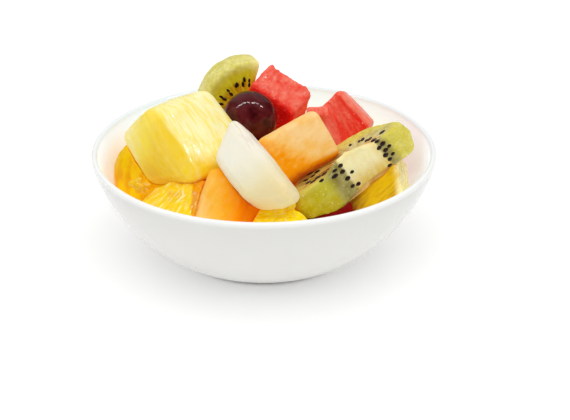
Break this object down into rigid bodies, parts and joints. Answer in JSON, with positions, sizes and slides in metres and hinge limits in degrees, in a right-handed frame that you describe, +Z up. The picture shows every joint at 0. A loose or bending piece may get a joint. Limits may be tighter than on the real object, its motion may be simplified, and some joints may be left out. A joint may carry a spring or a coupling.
{
  "type": "fruit salad",
  "caption": "White porcelain bowl heaped with cut fruit: pineapple, melon, watermelon, kiwi slices, orange segments and dark grapes.",
  "frame": {"origin": "middle of the bowl's foot ring, on the table", "axes": "+Z up, -Y towards the side of the heap that is shown, +X to the right of it"},
  "size_m": [0.15, 0.15, 0.0792],
  "materials": {
    "porcelain": "smooth white glaze, high gloss",
    "pineapple": "wet cut flesh with fine pale fibres",
    "honeydew": "wet smooth cut flesh",
    "cantaloupe": "wet smooth cut flesh, pale towards one edge",
    "watermelon": "wet crumbly cut flesh",
    "kiwi": "wet translucent flesh, pale core, black seeds",
    "grape": "taut dark skin, high gloss",
    "orange": "wet translucent segment with juice sacs",
    "beneath": "packed fruit and juice, not seen"
  },
  "bodies": {
    "root": {"bowl": "porcelain", "pineapple_large": "pineapple", "pineapple_right": "pineapple", "pineapple_tip": "pineapple", "pineapple_front": "pineapple", "pineapple_back": "pineapple", "honeydew_slice": "honeydew", "honeydew_back": "honeydew", "cantaloupe_upper": "cantaloupe", "cantaloupe_lower": "cantaloupe", "cantaloupe_left": "cantaloupe", "cantaloupe_side": "cantaloupe", "watermelon_back": "watermelon", "watermelon_right": "watermelon", "watermelon_bit": "watermelon", "watermelon_front": "watermelon", "watermelon_side": "watermelon", "kiwi_right": "kiwi", "kiwi_back": "kiwi", "grape_front": "grape", "grape_back": "grape", "orange_left": "orange", "orange_front": "orange", "orange_back": "orange", "orange_pulp": "orange", "under_1_cantaloupe": "cantaloupe", "under_2_honeydew": "honeydew", "under_3_watermelon": "watermelon", "under_4_pineapple": "pineapple", "under_5_cantaloupe": "cantaloupe", "under_middle_watermelon": "watermelon", "packed_fruit": "beneath"}
  },
  "joints": []
}
